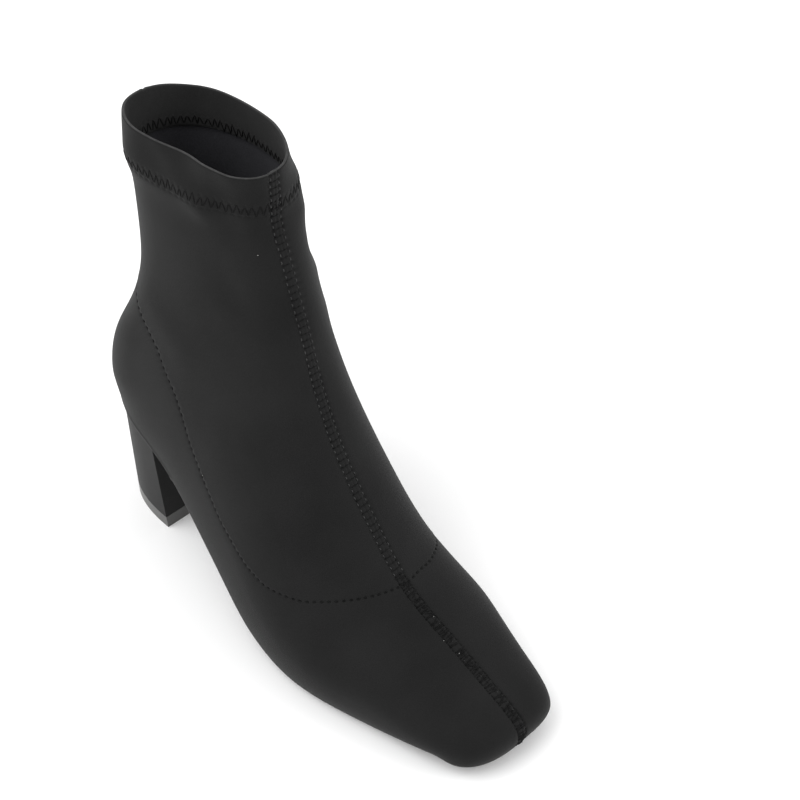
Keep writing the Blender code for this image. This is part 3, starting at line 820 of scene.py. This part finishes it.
def add_front_seam(tree, light, dark):
    """Two rows of stitches down the front, and the threads that cross between them.

    Over the forefoot the stitches are dark and the crossing threads lie close. The light threads' grey is
    partly painted highlight, the dark threads' darkness partly painted shade.
    """
    points, normal, way, over = framed(FRONT_LINE)
    points = points + RANDOM.normal(0, WANDER, points.shape)
    fore = points[:, 1] < HEEL_MIDDLE - DENSE_SEAM * LENGTH
    left, right = points - over * ROW_GAP / 2, points + over * ROW_GAP / 2
    shown = way * PITCH * STITCH_SHARE
    groups = [(row[~fore] - shown[~fore], row[~fore] + shown[~fore], normal[~fore], FRONT_LIFT, FRONT_THREAD)
              for row in (left, right)]
    bright = np.flatnonzero(fore)[::BRIGHT_SKIP]
    aside = RANDOM.uniform(-BRIGHT_SPREAD, BRIGHT_SPREAD, (len(bright), 1))
    middle = points[bright] + over[bright] * aside * ROW_GAP
    short = shown[bright] / 2
    groups.append((middle - short, middle + short, normal[bright], BRIGHT_LIFT, BRIGHT_THREAD))
    add_threads("front_seam_stitches", tree, groups, light)
    half = way[:-1] * PITCH / 2
    groups = [(left[:-1] + half, right[:-1] + half, normal[:-1], CROSSING_LIFT, THREAD * CROSSING_SHARE)]
    near = fore[:-1]
    for share in CROSSING_PLACES:
        ends = []
        for row in (left, right):
            along = RANDOM.normal(share, ALONG_WANDER, (near.sum(), 1)) * way[:-1][near] * PITCH
            across = RANDOM.normal(0, END_WANDER, (near.sum(), 1)) * over[:-1][near]
            ends.append(row[:-1][near] + along + across)
        groups.append((ends[0], ends[1], normal[:-1][near], DARK_LIFT, THREAD))
    groups += [(row[fore] - shown[fore], row[fore] + shown[fore], normal[fore], DARK_LIFT, THREAD)
               for row in (left, right)]
    add_threads("front_seam_crossings", tree, groups, dark)


def add_hem_seam(tree, dark):
    """The zigzag that holds the collar's fold, outside and inside."""
    groups = []
    ring = hem_line(HEM_SEAM)
    count = stitch_count(ring) * 2
    height = np.where(np.arange(count + 1) % 2, 0.5, -0.5)[:, None] * [0, 0, HEM_SEAM_GAP]
    facing = unit(evenly(ring - hem_line(HEM_SEAM, HEM_WALL), count))
    for inner, normal in ((0.0, facing), (HEM_WALL, -facing)):
        spots = evenly(hem_line(HEM_SEAM, inner), count) + height
        spots += RANDOM.normal(0, ZIGZAG_WANDER, spots.shape)
        groups.append((spots[:-1], spots[1:], normal[:-1], 0.0, THREAD))
    add_threads("hem_stitches", tree, groups, dark)


def add_panel_seam(tree, dark):
    """The single row of stitches along the panel seam, in dark thread whose darkness is partly painted
    shade.
    """
    points, normal, way, _ = framed(PANEL_LINE)
    shown = way * PITCH * PANEL_SHARE
    middle = points + way * PITCH / 2
    row = (middle - shown, middle + shown, normal, DARK_LIFT, PANEL_THREAD)
    add_threads("panel_seam_stitches", tree, [row], dark)


def add_lint(tree, light):
    """A few specks of light lint that cling to the cloth."""
    spots = []
    for across, along, height in LINT:
        spots.append(placed(np.array([across * BALL_WIDTH, along * LENGTH, height * COLLAR_HEIGHT])))
    spots = on_skin(np.array(spots))
    ends = spots + RANDOM.normal(0, 1, spots.shape) * LINT_SIZE / 2
    add_threads("lint", tree, [(spots, ends, outward(spots), LINT_LIFT, LINT_THREAD)], light)


def add_block(name, top, under, material, node, rounding):
    """A closed body between two sets of rungs, its sharp edges rounded."""
    count = len(top)
    faces = []
    low = 2 * count
    for index in range(count - 1):
        a, b, c, d = (2 * index + step for step in range(4))
        faces += [(a, b, d, c), (low + a, low + c, low + d, low + b),
                  (a, c, low + c, low + a), (b, low + b, low + d, d)]
    last = 2 * count - 2
    faces += [(0, low, low + 1, 1), (last, last + 1, low + last + 1, low + last)]
    form = welded(placed(np.concatenate([top.reshape(-1, 3), under.reshape(-1, 3)])), faces)
    piece = finished(name, form, material, node)
    edge = piece.modifiers.new("edge", "BEVEL")
    edge.width = rounding
    edge.segments = ROUND_FACES
    edge.angle_limit = np.radians(SHARP)
    edge.harden_normals = True
    return piece


def add_outsole(material):
    """The rubber sole from the toe to the heel's breast, its edge slanted in toward the floor."""
    outline = drawn_in(LATERAL, SOLE_INSET)[:, 1]
    lower = drawn_in(LATERAL, SOLE_INSET + SOLE_SLANT)[:, 1]
    end = HEEL_BREAST - BREAST_LEAN + 2 * GAP
    shown = outline > end + SOLE
    top = rungs(SOLE_INSET, -GAP, np.append(outline[shown], end))
    under = rungs(SOLE_INSET + SOLE_SLANT, -GAP - SOLE, np.append(lower[shown], end))
    under[-1, :, 1] = end
    add_block("outsole_rubber", top, under, material, "outsole", SOLE_ROUNDING)


def add_insole(material):
    """The footbed inside the upper."""
    inset = WALL + INSOLE_ROOM
    places = drawn_in(LATERAL, inset)[:, 1]
    under = rungs(inset, WALL + GAP, places)
    top = rungs(inset, WALL + GAP + INSOLE, places)
    add_block("insole_sheet", top, under, material, "insole", INSOLE_ROUNDING)


def add_heel(cover, rubber):
    """The covered heel block and the rubber lift under it."""
    add_block("heel_cover", heel_seat(), heel_at(LIFT + GAP), cover, "heel_block",
              COVER_ROUNDING)
    add_block("heel_lift", heel_at(LIFT), heel_floor(), rubber, "heel_toplift",
              LIFT_ROUNDING)


def grey(value):
    """A colour without hue."""
    return value, value, value


def surface(name, dark, light, roughness, grain, relief, sheen=0.0, specular=0.5):
    """A matt surface: fine grain in colour, roughness and relief, and slow changes of tone."""
    material = bpy.data.materials.new(name)
    material.use_nodes = True
    nodes, links = material.node_tree.nodes, material.node_tree.links
    shader = nodes["Principled BSDF"]
    where = nodes.new("ShaderNodeTexCoord")

    def noise(size, detail):
        node = nodes.new("ShaderNodeTexNoise")
        node.inputs["Scale"].default_value = 1 / size
        node.inputs["Detail"].default_value = detail
        links.new(where.outputs["Object"], node.inputs["Vector"])
        return node.outputs["Fac"]

    fine, slow = noise(grain, 2), noise(BLOTCH, 3)
    tone = nodes.new("ShaderNodeMath")
    tone.operation = "MULTIPLY_ADD"
    tone.inputs[1].default_value = FINE_SHARE
    links.new(fine, tone.inputs[0])
    rest = nodes.new("ShaderNodeMath")
    rest.operation = "MULTIPLY"
    rest.inputs[1].default_value = 1 - FINE_SHARE
    links.new(slow, rest.inputs[0])
    links.new(rest.outputs[0], tone.inputs[2])
    ramp = nodes.new("ShaderNodeValToRGB")
    ramp.color_ramp.elements[0].position = DARK_END
    ramp.color_ramp.elements[0].color = (*dark, 1)
    ramp.color_ramp.elements[1].position = LIGHT_END
    ramp.color_ramp.elements[1].color = (*light, 1)
    links.new(tone.outputs[0], ramp.inputs["Fac"])
    links.new(ramp.outputs["Color"], shader.inputs["Base Color"])
    rough = nodes.new("ShaderNodeMapRange")
    rough.inputs["To Min"].default_value = roughness - ROUGHNESS_SPREAD
    rough.inputs["To Max"].default_value = roughness + ROUGHNESS_SPREAD
    links.new(fine, rough.inputs["Value"])
    links.new(rough.outputs["Result"], shader.inputs["Roughness"])
    relief_node = nodes.new("ShaderNodeBump")
    relief_node.inputs["Strength"].default_value = RELIEF_STRENGTH
    relief_node.inputs["Distance"].default_value = relief
    links.new(fine, relief_node.inputs["Height"])
    links.new(relief_node.outputs["Normal"], shader.inputs["Normal"])
    shader.inputs["Sheen Weight"].default_value = sheen
    shader.inputs["Sheen Roughness"].default_value = SHEEN_ROUGHNESS
    shader.inputs["Specular IOR Level"].default_value = specular
    return material


def add_camera():
    """The camera at the photograph's viewing angle."""
    data = bpy.data.cameras.new("camera")
    data.lens = LENS
    data.sensor_width = 36
    data.clip_start = 0.01
    data.clip_end = 50
    camera = bpy.data.objects.new("camera", data)
    bpy.context.scene.collection.objects.link(camera)
    forward = LOOK.normalized()
    right = forward.cross(Vector((0, 0, 1))).normalized()
    up = right.cross(forward)
    right, up = right * np.cos(ROLL) + up * np.sin(ROLL), up * np.cos(ROLL) - right * np.sin(ROLL)
    turn = Matrix((right, up, -forward)).transposed().to_4x4()
    camera.matrix_world = Matrix.Translation(CAMERA) @ turn
    bpy.context.scene.camera = camera


def add_light(name, place, target, size, power):
    """A round area light that faces its target."""
    data = bpy.data.lights.new(name, "AREA")
    data.shape = "DISK"
    data.size = size
    data.energy = power
    light = bpy.data.objects.new(name, data)
    bpy.context.scene.collection.objects.link(light)
    light.location = place
    light.rotation_mode = "QUATERNION"
    light.rotation_quaternion = (Vector(target) - Vector(place)).to_track_quat("-Z", "Y")


def add_studio():
    """A white floor, an even white surround, one large soft light and a weaker one."""
    material = bpy.data.materials.new("floor_white")
    material.use_nodes = True
    shader = material.node_tree.nodes["Principled BSDF"]
    shader.inputs["Base Color"].default_value = (0.95, 0.95, 0.95, 1)
    shader.inputs["Roughness"].default_value = 0.9
    mesh = bpy.data.meshes.new("floor")
    corners = [(x * FLOOR, y * FLOOR, 0) for x, y in ((-1, -1), (1, -1), (1, 1), (-1, 1))]
    mesh.from_pydata(corners, [], [(0, 1, 2, 3)])
    mesh.materials.append(material)
    floor = bpy.data.objects.new("floor", mesh)
    bpy.context.scene.collection.objects.link(floor)
    world = bpy.data.worlds.new("studio")
    bpy.context.scene.world = world
    world.use_nodes = True
    background = world.node_tree.nodes["Background"]
    background.inputs["Color"].default_value = (1, 1, 1, 1)
    background.inputs["Strength"].default_value = 1.0
    add_light("softbox", *SOFTBOX)
    add_light("fill", *FILL)
    bpy.context.scene.view_settings.view_transform = "Standard"


# Materials: name, dark and light colour, roughness, size of the grain, relief, and for most sheen and gloss
FABRIC = surface("stretch_fabric", grey(0.005), grey(0.010), 0.7, 0.0004, 0.0002, 0.05, 0.12)
FOLD_INSIDE = surface("fold_inside", grey(0.018), grey(0.030), 0.8, 0.0004, 0.0002, 0.05, 0.12)
# A lighter grey for the rim's top and the upper's edge over the heel: painted highlight for the light these
# edges catch
PAINTED_EDGE_HIGHLIGHT = surface("fold_edge_painted_highlight", grey(0.016), grey(0.040), 0.6, 0.0020, 0.0002, 0.05, 0.2)
LINING = surface("lining", (0.030, 0.030, 0.034), (0.050, 0.050, 0.056), 0.8, 0.0005, 0.0002, 0.05, 0.12)
# Black thread in a lighter grey so that its loops show as light dots: the gloss is the thread's own, the
# lighter grey is painted highlight
LIGHT_THREAD_AND_HIGHLIGHT = surface("thread_light_and_painted_highlight", grey(0.012), grey(0.030), 0.5, 0.0003, 0.0001, 0.0, 0.3)
# Black thread, darker than the black cloth so that it reads as the shade in the stitches' pits: the thread
# is real, its extra darkness is painted shade
DARK_THREAD_AND_SHADE = surface("thread_dark_and_painted_shade", grey(0.003), grey(0.007), 0.7, 0.0003, 0.0001, 0.0, 0.1)
SPECK = surface("lint", (0.25, 0.25, 0.24), (0.4, 0.4, 0.38), 0.9, 0.0003, 0.0001)
COVER = surface("heel_cover", grey(0.006), grey(0.011), 0.6, 0.0004, 0.0002, 0.05, 0.13)
SOLE_RUBBER = surface("sole_rubber", grey(0.008), grey(0.014), 0.5, 0.0006, 0.0001, 0.0, 0.2)
LIFT_RUBBER = surface("lift_rubber", (0.050, 0.050, 0.048), (0.075, 0.075, 0.072), 0.35, 0.0006, 0.0001,
                      0.0, 0.5)

add_camera()
add_studio()
CLOTH = add_upper(FABRIC, FOLD_INSIDE, PAINTED_EDGE_HIGHLIGHT, LINING)
add_front_seam(CLOTH, LIGHT_THREAD_AND_HIGHLIGHT, DARK_THREAD_AND_SHADE)
add_hem_seam(CLOTH, DARK_THREAD_AND_SHADE)
add_panel_seam(CLOTH, DARK_THREAD_AND_SHADE)
add_lint(CLOTH, SPECK)
add_outsole(SOLE_RUBBER)
add_insole(LINING)
add_heel(COVER, LIFT_RUBBER)
